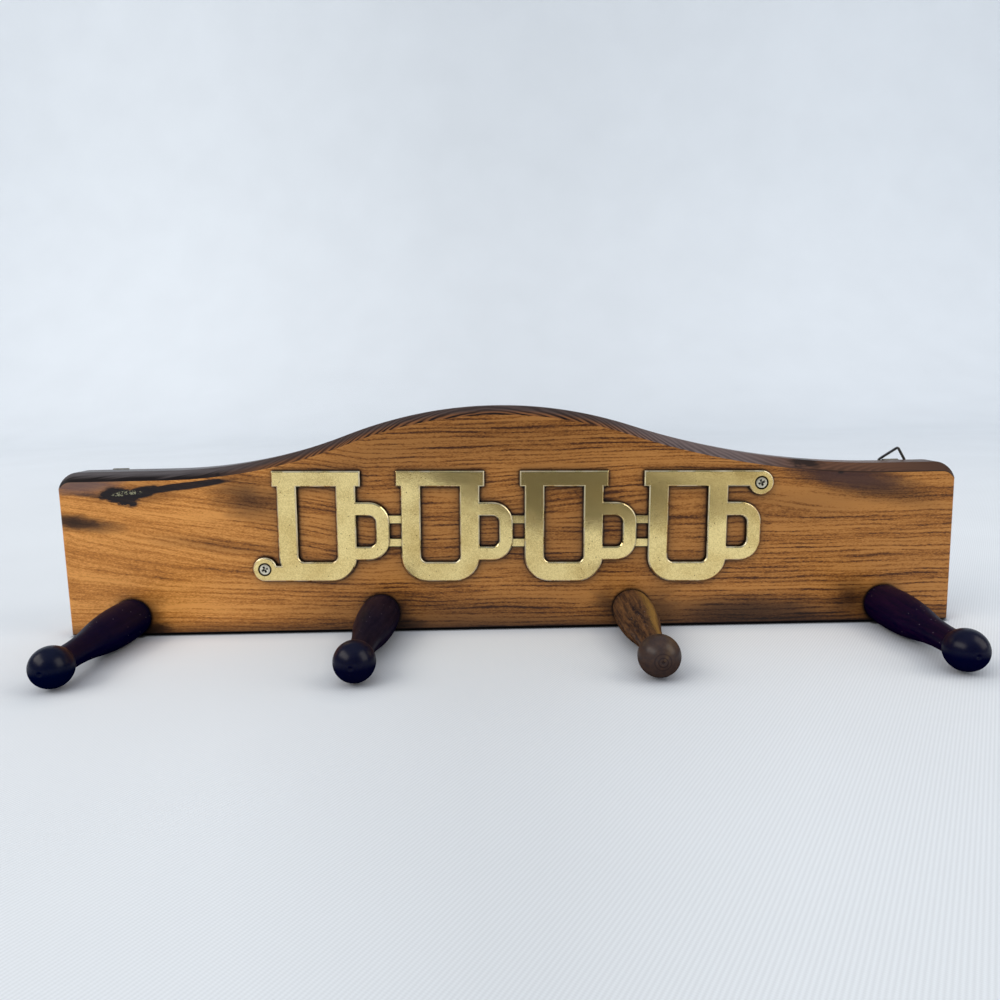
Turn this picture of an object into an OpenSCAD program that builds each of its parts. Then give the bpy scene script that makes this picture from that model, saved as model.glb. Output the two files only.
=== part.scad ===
// Wall rack for mugs: a camelback board with four turned pegs along its lower edge,
// a cast brass plate on its face and two wire hanging rings on its back.
// The origin is the middle of the board's bottom edge. The face looks along -Y.

/* [Board] */
// Length of the board
board_w = 457; // [430:1:600]
// Thickness of the board
board_t = 19; // [16:0.5:25]
// Height of the left shoulder above the bottom edge
shoulder_left_h = 85.5; // [84:0.5:92]
// Height of the right shoulder above the bottom edge
shoulder_right_h = 82; // [80:0.5:92]
// Height of the hump above the bottom edge
hump_h = 115.2; // [112:0.2:120]
// How far the hump's crown stands right of the middle
hump_x = -5; // [-10:0.5:10]
// Radius of the hump's crown
hump_r = 219; // [180:1:260]
// Radius of the hollow that runs down to the left shoulder
sweep_left_r = 275; // [200:1:400]
// Radius of the hollow that runs down to the right shoulder
sweep_right_r = 410; // [300:1:450]
// Radius of the two upper corners
corner_r = 8; // [3:0.5:12]
// How far the bevel along the top comes down the face
bevel_h = 4.5; // [2:0.5:6]
// How far the bevel along the top runs back into the thickness
bevel_d = 5; // [2:0.5:8]
// Size of the small easing on every other edge
edge_ease = 0.8; // [0.3:0.1:1.5]

/* [Pegs] */
// Distance from the board's ends in to the outer pegs' axes, before the row is shifted
peg_inset = 33.5; // [28:0.5:60]
// How far the row of pegs stands right of the middle
peg_shift = -0.5; // [-5:0.5:5]
// Height of the pegs' axes above the bottom edge
peg_z = 9.5; // [9.5:0.5:14]
// Diameter of the peg at its fullest
barrel_d = 20.4; // [16:0.2:24]
// Distance from the board's face to the fullest place
barrel_y = 13; // [6:0.5:20]
// Radius of the arc that the barrel's side follows
barrel_arc_r = 150; // [120:1:180]
// Diameter of the neck under the ball
neck_d = 11.6; // [8:0.2:14]
// Distance from the board's face to the narrowest place
neck_y = 61.4; // [56:0.1:66]
// Diameter of the ball
ball_d = 18.5; // [16:0.1:24]
// Distance from the board's face to the middle of the ball
ball_y = 74.8; // [70:0.2:80]
// Diameter of the lathe centre's dimple in the tip of the ball
dimple_d = 2.2; // [1:0.2:3]
// Diameter of the tenon
tenon_d = 12.7; // [9:0.1:14]
// Length of the tenon
tenon_len = 14; // [8:0.5:14.5]
// Depth that the tenon's hole is drilled past the tenon's end
glue_room = 1; // [0.5:0.5:1.5]
// Glue line round the tenon
glue_line = 0.1; // [0.05:0.05:0.2]

/* [Brass plate] */
// Height of the plate
plate_h = 57; // [50:0.5:58]
// Thickness of the plate
plate_t = 2.8; // [2:0.1:4]
// Height of the plate's middle above the bottom edge
plate_z = 54; // [50:0.5:56]
// How far the plate's middle stands right of the board's
plate_x = 2.8; // [-5:0.2:5]
// How far the plate is turned on the board, its right end down
plate_turn = 1.1; // [-1:0.1:1.1]
// Bevel round the face of every stroke
stroke_bevel = 0.6; // [0.2:0.1:1]
// Distance from one mug outline to the next
mug_pitch = 63; // [62:0.5:64]
// Outside width of a mug outline's body
mug_w = 40; // [36:0.5:42]
// Width of the strokes of the body
stroke_w = 10; // [8:0.5:12]
// Inside radius of the body's lower corners
bend_in_r = 3; // [1.5:0.5:5]
// Height of the lip along the top, and of the foot beside the first mug
rail_w = 8; // [6:0.5:9]
// How far the lip stands out past the body
lip_out = 2.5; // [1:0.5:3]
// How far the handle stands out past the body
handle_reach = 17; // [15:0.5:18]
// Outside height of the handle
handle_h = 30; // [28:0.5:32]
// Height of the handle's middle above the plate's lower edge
handle_y = 26; // [24:0.5:28]
// Width of the handle's stroke
handle_w = 7; // [5:0.5:8]
// Inside radius of the handle's corners
handle_in_r = 3.5; // [2:0.5:4.5]
// Height of the small web that ties a handle to the next mug
web_h = 4; // [3:0.5:6]
// Thickness of the small web
web_t = 1.6; // [1:0.1:2]
// Height of the webs above and below the handle's middle
web_y = 6; // [4:0.5:8]
// Radius of the ear round each plate screw
ear_r = 6.2; // [5:0.1:7]
// How far each ear's middle stands out past half the row of mugs
ear_out = 3.5; // [2:0.5:6]
// How far the row of mugs is shifted to the right between the ears
row_shift = 4; // [2:0.5:5]

/* [Plate screws] */
// Diameter of the countersunk head
flat_head_d = 5.6; // [5:0.1:6.5]
// Diameter of the shank
flat_shank_d = 2.8; // [2.2:0.1:3.2]
// Length of the whole screw
flat_len = 13; // [10:0.5:16]

/* [Hangers] */
// Distance from each end of the board to the middle of its hanger
hanger_inset = 23.5; // [18:0.5:40]
// Width of the strap
strap_w = 8; // [7:0.5:8.5]
// Thickness of the strap's metal
strap_t = 0.7; // [0.6:0.1:0.8]
// Distance from the hinge to the strap's screw
strap_screw_drop = 14; // [12:0.5:20]
// How far the curled end of the strap shows above the shoulder
curl_show = 0.4; // [0:0.1:1]
// Diameter of the ring's wire
wire_d = 1.4; // [1.2:0.1:1.5]
// Running clearance round the wire in the curl
wire_clear = 0.2; // [0.1:0.05:0.25]
// Length of the ring's side that lies in the curl
ring_base = 16.4; // [16:0.2:20]
// Height of the ring from the hinge to its tip
ring_h = 7.6; // [7.4:0.1:10]
// Bend radius at the ring's corners
ring_bend_r = 0.9; // [0.8:0.1:1.1]
// How far the right ring's tip has been pulled to the right
ring_skew = 3.9; // [0:0.1:4]
// Diameter of the strap screw's round head
round_head_d = 6; // [5:0.1:7]
// Height of the strap screw's round head
round_head_h = 1.9; // [1.4:0.1:2.2]
// Diameter of the strap screw's shank
round_shank_d = 3; // [2.4:0.1:3.4]
// Length of the strap screw's shank
round_len = 12; // [8:0.5:14]

/* [Fits] */
// Clearance round a screw in the metal that it holds
screw_clear = 0.2; // [0.1:0.05:0.3]
// Clearance round a screw in its pilot hole
pilot_clear = 0.05; // [0.02:0.01:0.1]
// Depth that a pilot hole runs past the screw's tip
pilot_over = 1; // [0.5:0.5:2]
// Gap under a strap screw's head and round a countersunk one
seat_gap = 0.05; // [0.02:0.01:0.1]

/* [Hidden] */

$fn = 96;

// Number of pegs, and of mug outlines on the plate
PEGS = 4;
MUGS = 4;
// A hole starts this far above the surface that it opens in.
HOLE_START = 1;
// Sides of the ring's wire, and steps in each of its bends
WIRE_SIDES = 20;
BEND_STEPS = 6;

face_y = -board_t / 2;
back_y = board_t / 2;

// The top outline is three arcs that run into each other and into the level shoulders.
hump_c = [hump_x, hump_h - hump_r];
left_run = sweep_run(hump_h - shoulder_left_h, sweep_left_r);
right_run = sweep_run(hump_h - shoulder_right_h, sweep_right_r);
left_c = [hump_x - left_run, shoulder_left_h + sweep_left_r];
right_c = [hump_x + right_run, shoulder_right_h + sweep_right_r];
left_a = heading(hump_c, left_c);
right_a = heading(hump_c, right_c);
// Up to this height the board is a plain block with its edges eased.
block_h = min(shoulder_left_h, shoulder_right_h) / 2;
// A cutter reaches past the surface that it leaves by this share of its own size.
OVER = 0.2;
// Longest straight piece in the top's large arcs, and steps in each upper corner
ARC_STEP = 4;
CORNER_STEPS = 8;

// The barrel's arc and the neck's arc run into each other.
barrel_c = [barrel_d / 2 - barrel_arc_r, barrel_y];
waist = (barrel_d - neck_d) / 2;
arc_sum = ((neck_y - barrel_y) * (neck_y - barrel_y) + waist * waist) / (2 * waist);
neck_arc_r = arc_sum - barrel_arc_r;
neck_c = [neck_d / 2 + neck_arc_r, neck_y];
arc_join_y = barrel_y + (neck_y - barrel_y) * barrel_arc_r / arc_sum;
peg_pitch = (board_w - 2 * peg_inset) / (PEGS - 1);
peg_first_x = peg_shift + peg_inset - board_w / 2;

row_len = (MUGS - 1) * mug_pitch + mug_w + handle_reach;
row_x = row_shift - row_len / 2;
ear_x = row_len / 2 + ear_out;
bend_c = bend_in_r + stroke_w;
handle_bend_c = handle_in_r + handle_w;

curl_in_r = wire_d / 2 + wire_clear;
curl_out_r = curl_in_r + strap_t;
hinge_y = back_y + curl_out_r;
hinge_left = [hanger_inset - board_w / 2, hinge_y, shoulder_left_h + curl_show - curl_out_r];
hinge_right = [board_w / 2 - hanger_inset, hinge_y, shoulder_right_h + curl_show - curl_out_r];
// The curl's metal ends this far round from level, on the side away from the board.
curl_end_a = -100;

// Length of a hollow of radius r that is tangent to the hump and to a shoulder, rise below it
function sweep_run(rise, r) = sqrt(2 * (hump_r + r) * rise - rise * rise);
// Compass direction from one point to another, anticlockwise from +X
function heading(from, to) = atan2(to[1] - from[1], to[0] - from[0]);
function unit(v) = v / norm(v);
function tail(list) = [for (i = [1:len(list) - 1]) list[i]];

// Stands a drawing in XY up on its edge: its Y becomes +Z and its thickness faces -Y.
module stand() {
    rotate([90, 0, 0]) children();
}

// Board

// A rectangle between two corners, given in either order
module span(x0, x1, y0, y1) {
    translate([min(x0, x1), min(y0, y1)]) square([abs(x1 - x0), abs(y1 - y0)]);
}

// The small triangle that comes off an edge, in (across the edge, through the board)
function ease_section(edge, inward) = let(e = edge_ease) [
    [edge + inward * e * (1 + OVER), board_t / 2 + e * OVER],
    [edge - inward * e * OVER, board_t / 2 - e * (1 + OVER)],
    [edge - inward * e * OVER, board_t / 2 + e * OVER]];

// Eases the bottom edge and both ends of one face
module block_ease() {
    translate([-board_w, 0, 0]) rotate([90, 0, 90]) linear_extrude(2 * board_w) polygon(ease_section(0, 1));
    for (side = [-1, 1]) translate([0, 2 * block_h, 0]) rotate([90, 0, 0])
        linear_extrude(3 * block_h) polygon(ease_section(side * board_w / 2, -side));
}

module lower_block() difference() {
    translate([-board_w / 2, 0, -board_t / 2]) cube([board_w, block_h, board_t]);
    block_ease();
    mirror([0, 0, 1]) block_ease();
}

// The upper part is lofted through the outline. A station on the outline is
// [point, unit vector into the board, how far the front's bevel comes down, how far it runs back].
function arc_stations(center, r, from_a, to_a, inward) =
    let(steps = ceil(r * abs(to_a - from_a) * PI / 180 / ARC_STEP))
    [for (k = [0:steps]) let(a = from_a + k * (to_a - from_a) / steps, out = [cos(a), sin(a)])
        [center + r * out, inward * out, bevel_h, bevel_d]];

// Round an upper corner the bevel fades into the small easing of the end.
function corner_stations(side, h) =
    [for (k = [0:CORNER_STEPS]) let(a = 90 * (side > 0 ? k : k - CORNER_STEPS) / CORNER_STEPS,
            out = [side * cos(a), sin(abs(a))], fade = sin(abs(a)))
        [[side * (board_w / 2 - corner_r), h - corner_r] + corner_r * out, -out,
            edge_ease + fade * (bevel_h - edge_ease), edge_ease + fade * (bevel_d - edge_ease)]];

function foot_station(side) = [[side * board_w / 2, block_h], [-side, 0], edge_ease, edge_ease];

// Anticlockwise from the right end. Two arcs share the point where they meet.
function top_stations() = [
    foot_station(1),
    each corner_stations(1, shoulder_right_h),
    each arc_stations(right_c, sweep_right_r, 270, right_a + 180, 1),
    each tail(arc_stations(hump_c, hump_r, right_a, left_a, -1)),
    each tail(arc_stations(left_c, sweep_left_r, left_a + 180, 270, 1)),
    each corner_stations(-1, shoulder_left_h),
    foot_station(-1)];

module upper_part() {
    stations = top_stations();
    n = len(stations);
    rings = [
        [for (s = stations) let(p = s[0] + edge_ease * s[1]) [p[0], p[1], -board_t / 2]],
        [for (s = stations) [s[0][0], s[0][1], edge_ease - board_t / 2]],
        [for (s = stations) [s[0][0], s[0][1], board_t / 2 - s[3]]],
        [for (s = stations) let(p = s[0] + s[2] * s[1]) [p[0], p[1], board_t / 2]]];
    last = len(rings) - 1;
    sides = [for (j = [0:last - 1], i = [0:n - 1])
        let(a = j * n + i, b = j * n + (i + 1) % n) each [[a, b + n, b], [a, a + n, b + n]]];
    polyhedron([for (ring = rings) each ring],
        concat(sides, [[for (i = [0:n - 1]) i], [for (i = [0:n - 1]) last * n + n - 1 - i]]));
}

module backboard() color("#9a622f") difference() {
    stand() {
        lower_block();
        upper_part();
    }
    for (i = [0:PEGS - 1]) peg_place(i) bore(tenon_d / 2 + glue_line, tenon_len + glue_room);
    for (side = [-1, 1]) {
        on_plate() translate([side * ear_x, ear_line(side), 0])
            bore_down(flat_shank_d / 2 + pilot_clear, flat_len - plate_t + pilot_over);
        strap_place(side) translate([0, 0, -strap_screw_drop]) rotate([90, 0, 0])
            bore(round_shank_d / 2 + pilot_clear, round_len - strap_t + pilot_over);
    }
}

module bore(r, depth) {
    translate([0, 0, -HOLE_START]) cylinder(r = r, h = depth + HOLE_START, $fn = 64);
}
module bore_down(r, depth) {
    mirror([0, 0, 1]) bore(r, depth);
}

// Pegs

// The tenon's hole runs along local +Z, into the board from its face.
module peg_place(i) {
    translate([peg_first_x + i * peg_pitch, face_y, peg_z]) rotate([-90, 0, 0]) children();
}

// Half section of a peg: radius along X, distance out from the board's face along Y
module peg_section() {
    tip_y = ball_y + ball_d / 2;
    difference() {
        union() {
            translate([0, -tenon_len]) square([tenon_d / 2, tenon_len + barrel_y]);
            intersection() {
                translate(barrel_c) circle(barrel_arc_r, $fn = 720);
                square([barrel_d, arc_join_y]);
            }
            difference() {
                translate([0, arc_join_y]) square([barrel_d / 2, ball_y - arc_join_y]);
                translate(neck_c) circle(neck_arc_r, $fn = 720);
            }
            intersection() {
                translate([0, ball_y]) circle(ball_d / 2);
                translate([0, ball_y - ball_d / 2]) square([ball_d, ball_d]);
            }
        }
        polygon([[0, tip_y - dimple_d / 2], [dimple_d, tip_y + dimple_d / 2], [0, tip_y + dimple_d / 2]]);
    }
}

module peg(i, shade) color(shade) peg_place(i) mirror([0, 0, 1]) rotate_extrude() peg_section();

module peg_1() peg(0, "#2a1012");
module peg_2() peg(1, "#33190f");
module peg_3() peg(2, "#5d3a20");
module peg_4() peg(3, "#2c0f11");

// Brass plate

// Places a drawing made from the plate's lower middle, its back on the board's face
module on_plate() {
    translate([plate_x, face_y, plate_z]) rotate([0, plate_turn, 0]) stand()
        translate([0, -plate_h / 2, 0]) children();
}

function ear_line(side) = side < 0 ? ear_r : plate_h - ear_r;

function stroke_section(w) = [[-w / 2, 0], [w / 2, 0], [w / 2, plate_t - stroke_bevel],
    [w / 2 - stroke_bevel, plate_t], [stroke_bevel - w / 2, plate_t], [-w / 2, plate_t - stroke_bevel]];

module bar_x(x0, x1, y, w) {
    translate([x0, y, 0]) rotate([90, 0, 90]) linear_extrude(x1 - x0) polygon(stroke_section(w));
}

module bar_y(x, y0, y1, w) {
    translate([x, y1, 0]) rotate([90, 0, 0]) linear_extrude(y1 - y0) polygon(stroke_section(w));
}

module bend(x, y, in_r, w, from_a) {
    translate([x, y, 0]) rotate([0, 0, from_a]) rotate_extrude(angle = 90)
        translate([in_r + w / 2, 0]) polygon(stroke_section(w));
}

// A straight bar with its two ends bevelled like its sides
module slab(x0, x1, y0, y1) {
    intersection() {
        bar_x(x0, x1, (y0 + y1) / 2, y1 - y0);
        bar_y((x0 + x1) / 2, y0, y1, x1 - x0);
    }
}

module ear() {
    rotate_extrude() polygon([[0, 0], [ear_r, 0], [ear_r, plate_t - stroke_bevel],
        [ear_r - stroke_bevel, plate_t], [0, plate_t]]);
}

module mug_handle() {
    inner = mug_w - stroke_w / 2;
    outer = mug_w + handle_reach;
    low = handle_y - handle_h / 2;
    high = handle_y + handle_h / 2;
    c = handle_bend_c;
    bar_x(inner, outer - c, low + handle_w / 2, handle_w);
    bar_x(inner, outer - c, high - handle_w / 2, handle_w);
    bar_y(outer - handle_w / 2, low + c, high - c, handle_w);
    bend(outer - c, low + c, handle_in_r, handle_w, 270);
    bend(outer - c, high - c, handle_in_r, handle_w, 0);
}

module mug_outline() {
    bar_y(stroke_w / 2, bend_c, plate_h - rail_w / 2, stroke_w);
    bar_y(mug_w - stroke_w / 2, bend_c, plate_h - rail_w / 2, stroke_w);
    bar_x(bend_c, mug_w - bend_c, stroke_w / 2, stroke_w);
    bend(bend_c, bend_c, bend_in_r, stroke_w, 180);
    bend(mug_w - bend_c, bend_c, bend_in_r, stroke_w, 270);
    slab(-lip_out, mug_w + lip_out, plate_h - rail_w, plate_h);
    mug_handle();
}

module webs() {
    from = mug_w + handle_reach - handle_w / 2;
    for (side = [-1, 1]) translate([from, handle_y + side * web_y - web_h / 2, 0])
        cube([mug_pitch + stroke_w / 2 - from, web_h, web_t]);
}

module countersink() {
    r = flat_head_d / 2 + seat_gap;
    shank_r = flat_shank_d / 2 + screw_clear;
    rotate_extrude(convexity = 4) polygon([[0, -HOLE_START], [shank_r, -HOLE_START],
        [shank_r, plate_t - (r - shank_r)], [r, plate_t], [r, plate_t + HOLE_START],
        [0, plate_t + HOLE_START]]);
}

module brass_plate() color("#c9a85a") on_plate() difference() {
    union() {
        for (i = [0:MUGS - 1]) translate([row_x + i * mug_pitch, 0, 0]) mug_outline();
        for (i = [0:MUGS - 2]) translate([row_x + i * mug_pitch, 0, 0]) webs();
        for (side = [-1, 1]) translate([side * ear_x, ear_line(side), 0]) ear();
        bar_x(-ear_x, row_x + bend_c, rail_w / 2, rail_w);
        bar_x(row_x + (MUGS - 1) * mug_pitch + mug_w, ear_x, plate_h - rail_w / 2, rail_w);
    }
    for (side = [-1, 1]) translate([side * ear_x, ear_line(side), 0]) countersink();
}

// Screws

module plate_screw(side) color("#b9b39a") on_plate() translate([side * ear_x, ear_line(side), plate_t])
    mirror([0, 0, 1]) flat_screw();

// A countersunk screw, its head at the origin and its point along +Z
module flat_screw() {
    r = flat_head_d / 2;
    shank_r = flat_shank_d / 2;
    rotate_extrude() polygon([[0, seat_gap], [r - seat_gap, seat_gap], [shank_r, r - shank_r + seat_gap],
        [shank_r, flat_len - shank_r], [0, flat_len]]);
}

module plate_screw_left() plate_screw(-1);
module plate_screw_right() plate_screw(1);

// A round-headed screw, the underside of its head at the origin and its point along +Z
module round_screw() {
    shank_r = round_shank_d / 2;
    dome_r = (round_head_d * round_head_d / 4 + round_head_h * round_head_h) / (2 * round_head_h);
    intersection() {
        translate([0, 0, dome_r - round_head_h]) sphere(dome_r);
        translate([0, 0, -round_head_h]) cylinder(d = round_head_d, h = round_head_h);
    }
    rotate_extrude() polygon([[0, -round_head_h / 2], [shank_r, -round_head_h / 2],
        [shank_r, round_len - shank_r], [0, round_len]]);
}

module hanger_screw(side) color("#c2bda8") strap_place(side)
    translate([0, strap_t + seat_gap, -strap_screw_drop]) rotate([90, 0, 0]) round_screw();

module hanger_screw_left() hanger_screw(-1);
module hanger_screw_right() hanger_screw(1);

// Hangers

function hinge(side) = side < 0 ? hinge_left : hinge_right;

// The strap is drawn from the board's back below its hinge: Y runs away from the board.
module strap_place(side) {
    translate([hinge(side)[0], back_y, hinge(side)[2]]) children();
}

// Section through the strap, in (away from the board, up)
module strap_section() {
    foot = -strap_screw_drop - strap_w / 2;
    span(0, strap_t, foot, 0);
    translate([curl_out_r, 0]) difference() {
        circle(curl_out_r);
        circle(curl_in_r);
        polygon([[0, 0], 4 * curl_out_r * [cos(curl_end_a), sin(curl_end_a)],
            [-4 * curl_out_r, -4 * curl_out_r], [-4 * curl_out_r, 0]]);
    }
}

module strap_face() {
    translate([0, -strap_screw_drop]) circle(strap_w / 2);
    span(-strap_w / 2, strap_w / 2, -strap_screw_drop, 2 * curl_out_r);
}

module hanger_strap(side) color("#a89f86") strap_place(side) difference() {
    intersection() {
        translate([-strap_w, 0, 0]) rotate([90, 0, 90]) linear_extrude(2 * strap_w) strap_section();
        translate([0, 3 * curl_out_r, 0]) stand() linear_extrude(4 * curl_out_r) strap_face();
    }
    translate([0, strap_t, -strap_screw_drop]) rotate([90, 0, 0])
        bore(round_shank_d / 2 + screw_clear, strap_t + HOLE_START);
}

module hanger_strap_left() hanger_strap(-1);
module hanger_strap_right() hanger_strap(1);

// A ring of round wire is bent through corners given anticlockwise. Each station along the
// wire is [its middle, the heading of its outer side], and carries one circle of points.
function bend_stations(last, here, next) =
    let(to_last = unit(last - here), to_next = unit(next - here),
        half_a = acos(to_last * to_next) / 2,
        mid = here + ring_bend_r / sin(half_a) * unit(to_last + to_next),
        start_a = heading(last, here) - 90)
    [for (k = [0:BEND_STEPS]) let(a = start_a + k * (180 - 2 * half_a) / BEND_STEPS)
        [mid + ring_bend_r * [cos(a), sin(a)], a]];

function ring_stations(corners) = let(n = len(corners))
    [for (i = [0:n - 1]) each bend_stations(corners[(i + n - 1) % n], corners[i], corners[(i + 1) % n])];

function wire_circle(station) = [for (k = [0:WIRE_SIDES - 1])
    let(a = 360 * k / WIRE_SIDES, out = wire_d / 2 * cos(a))
    [station[0][0] + out * cos(station[1]), station[0][1] + out * sin(station[1]), wire_d / 2 * sin(a)]];

module bent_wire(corners) {
    stations = ring_stations(corners);
    n = len(stations);
    polyhedron([for (s = stations) each wire_circle(s)], [for (i = [0:n - 1], k = [0:WIRE_SIDES - 1])
        let(i1 = (i + 1) % n, k1 = (k + 1) % WIRE_SIDES, a = i * WIRE_SIDES + k,
            b = i * WIRE_SIDES + k1, c = i1 * WIRE_SIDES + k1, d = i1 * WIRE_SIDES + k)
        each [[a, b, c], [a, c, d]]]);
}

// The ring stands up from its hinge, or hangs down from it.
module hanger_ring(side, skew, hangs) color("#3b3f42")
    translate(hinge(side)) rotate([hangs ? 180 : 0, 0, 0]) stand()
        bent_wire([[-ring_base / 2, 0], [ring_base / 2, 0], [skew, ring_h]]);

module hanger_ring_left() hanger_ring(-1, 0, true);
module hanger_ring_right() hanger_ring(1, ring_skew, false);

backboard();
brass_plate();
plate_screw_left();
plate_screw_right();
peg_1();
peg_2();
peg_3();
peg_4();
hanger_strap_left();
hanger_strap_right();
hanger_ring_left();
hanger_ring_right();
hanger_screw_left();
hanger_screw_right();
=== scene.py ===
"""Finishes the solids of a mug peg rack: varnished board and pegs, cast brass plate, steel hangers."""

import math

import bpy
from mathutils import Matrix, Vector


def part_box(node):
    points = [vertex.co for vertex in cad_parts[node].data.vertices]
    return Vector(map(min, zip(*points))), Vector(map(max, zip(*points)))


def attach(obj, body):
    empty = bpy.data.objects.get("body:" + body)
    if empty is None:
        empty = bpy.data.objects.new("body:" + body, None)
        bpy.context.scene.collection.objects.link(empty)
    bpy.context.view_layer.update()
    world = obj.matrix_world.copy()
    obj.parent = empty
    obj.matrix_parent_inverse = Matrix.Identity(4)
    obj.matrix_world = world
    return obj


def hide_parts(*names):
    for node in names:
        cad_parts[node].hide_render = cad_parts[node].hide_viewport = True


bl_info = {
    "name": "Mug Peg Rack",
    "version": (1, 0, 0),
    "blender": (4, 5, 0),
    "location": "3D View > Sidebar > Mug Rack",
    "description": "Finishes the solids of a wall rack for mugs and sets up its studio",
    "category": "Object",
}

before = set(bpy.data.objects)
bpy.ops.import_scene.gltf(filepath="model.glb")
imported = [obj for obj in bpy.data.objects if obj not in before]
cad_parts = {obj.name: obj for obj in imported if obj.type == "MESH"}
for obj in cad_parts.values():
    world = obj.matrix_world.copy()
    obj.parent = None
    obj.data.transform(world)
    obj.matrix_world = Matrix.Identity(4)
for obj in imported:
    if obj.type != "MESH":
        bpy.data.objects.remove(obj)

MM = 0.001
FULL_TURN = 2 * math.pi
PEGS = 4
SIDES = ("left", "right")
RACK = "rack"
BOARD_LOW, BOARD_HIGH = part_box("backboard")
FACE_Y = BOARD_LOW.y
BACK_Y = BOARD_HIGH.y
# The floor lies this low because the pegs' barrels reach below the board
FLOOR_Z = -0.75 * MM


def paint(red, green, blue):
    """A colour given as 0 to 255 on a screen, as the linear values that materials take."""
    shares = (red / 255, green / 255, blue / 255)
    return tuple(s / 12.92 if s <= 0.04045 else ((s + 0.055) / 1.055) ** 2.4 for s in shares)


# Colours of marks, dirt, painted shade, shadows and sheen, and lights
FLECK = paint(150, 148, 118)
# The grey and slate edge colours stand partly for a painted sheen on the bevelled edge
EDGE_SLATE_SHEEN = paint(95, 91, 93)
EDGE_GREY_SHEEN = paint(107, 93, 91)
SCAR = paint(26, 22, 22)
UNDERSIDE_SHADE = paint(24, 18, 20)
CORNER_DIRT_AND_SHADE = paint(30, 18, 16)
SEAM_DIRT_AND_SHADOW = paint(9, 7, 9)
PEG_SPECK = paint(138, 130, 138)
PEG_DIRT_AND_SHADE = paint(8, 5, 5)
BRASS_GRIT = paint(176, 150, 92)
STEEL_DIRT_AND_SHADE = paint(14, 12, 10)
CLOTH_SHADE = paint(74, 90, 126)
CLOTH_CONTACT_SHADOW = paint(14, 12, 16)
CARD_DARK = paint(100, 97, 88)
CARD_PALE = paint(212, 209, 199)
WINDOW_LIGHT = paint(255, 248, 238)
# Tints of the darker places on the board, its own tone and painted shadow alike, from the darkest to none
DARK_TONE_AND_SHADOW_TINTS = (
    (0.0, (0.02, 0.018, 0.03)),
    (0.3, (0.13, 0.12, 0.15)),
    (0.8, (0.66, 0.64, 0.62)),
    (1.0, (1, 1, 1)),
)


def colour(name, description, shade):
    """A colour that a user can change."""
    return bpy.props.FloatVectorProperty(
        name=name, description=description, subtype="COLOR", size=3, min=0, max=1, default=paint(*shade))


def length(name, description, millimetres):
    """A length that a user can change, given here in millimetres."""
    return bpy.props.FloatProperty(
        name=name, description=description, unit="LENGTH", min=0, precision=5, default=millimetres * MM)


def share(name, description, value):
    """A share between 0 and 1 that a user can change."""
    return bpy.props.FloatProperty(
        name=name, description=description, subtype="FACTOR", min=0, max=1, default=value)


def angle(name, description, degrees):
    """An angle that a user can change, given here in degrees."""
    return bpy.props.FloatProperty(
        name=name, description=description, subtype="ANGLE", unit="ROTATION", default=math.radians(degrees))


class BoardSettings(bpy.types.PropertyGroup):
    """The wooden board."""

    edge_round: length("Edge rounding", "Width of the rounding on every edge of the board", 0.3)
    line_gap: length("Growth line spacing", "Distance between two dark growth lines on the face", 2.35)
    light_wood: colour("Light wood", "Wood between two growth lines", (215, 149, 76))
    mid_wood: colour("Middle wood", "Wood beside a growth line", (176, 112, 46))
    dark_wood: colour("Dark wood", "Growth lines", (88, 49, 22))
    tooth_gap: length("Edge streak spacing", "Height between two streaks on the bevelled upper edge", 1.25)
    edge_dark: colour("Dark edge", "Dark streaks on the bevelled upper edge", (18, 13, 14))
    # The grey stands partly for a painted sheen of the varnish on the bevel
    edge_grey_sheen: colour("Grey edge", "Pale streaks high on the bevelled upper edge", (75, 62, 58))
    edge_low: colour("Brown edge", "Pale streaks low on the bevelled upper edge", (124, 80, 46))
    edge_red: colour("Red edge", "Pale streaks on the right end of the upper edge", (94, 65, 49))
    knot: colour("Knot streak", "The black streak at the board's upper left", (9, 11, 20))
    haze: colour("Haze", "Greyish film over the board's upper left corner", (98, 82, 84))
    bruise: colour("Bruise", "Purplish film over the dark place at the upper right", (80, 54, 52))
    bare_wood: colour("Back of the board", "Unvarnished wood on the back", (206, 172, 128))
    bare_line: colour("Growth lines at the back", "Growth lines in the unvarnished wood", (132, 92, 56))
    varnish: share("Varnish", "Strength of the varnish over the wood", 0.15)


class PlateSettings(bpy.types.PropertyGroup):
    """The cast brass plate and its two screws."""

    edge_round: length("Edge rounding", "Width of the rounding on every edge of the plate", 0.12)
    brass: colour("Brass", "Clean brass", (255, 230, 160))
    tarnish: colour("Tarnish", "Dull film on the brass", (228, 196, 124))
    # A painted glint on the bevel round every stroke, patchy where the brass is rubbed
    rim_glint: colour("Worn rim", "Bright metal on the bevel round every stroke", (255, 246, 212))
    # Dirt in the pits; the same colour paints shade into the corners, darkens the side walls and rings the
    # screws
    grime_and_shade: colour("Grime", "Dark dirt in the pits and along the side walls", (38, 32, 20))
    roughness: share("Roughness", "How dull the brass is", 0.13)
    screw: colour("Screw", "Nickel on the screws", (250, 244, 222))
    recess_width: length("Recess width", "Width of one arm of the cross recess", 1.4)
    recess_span: length("Recess span", "Length of the cross recess from end to end", 4.6)
    recess_turn: angle("Recess turn", "How far the cross recess is turned", 22)


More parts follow.
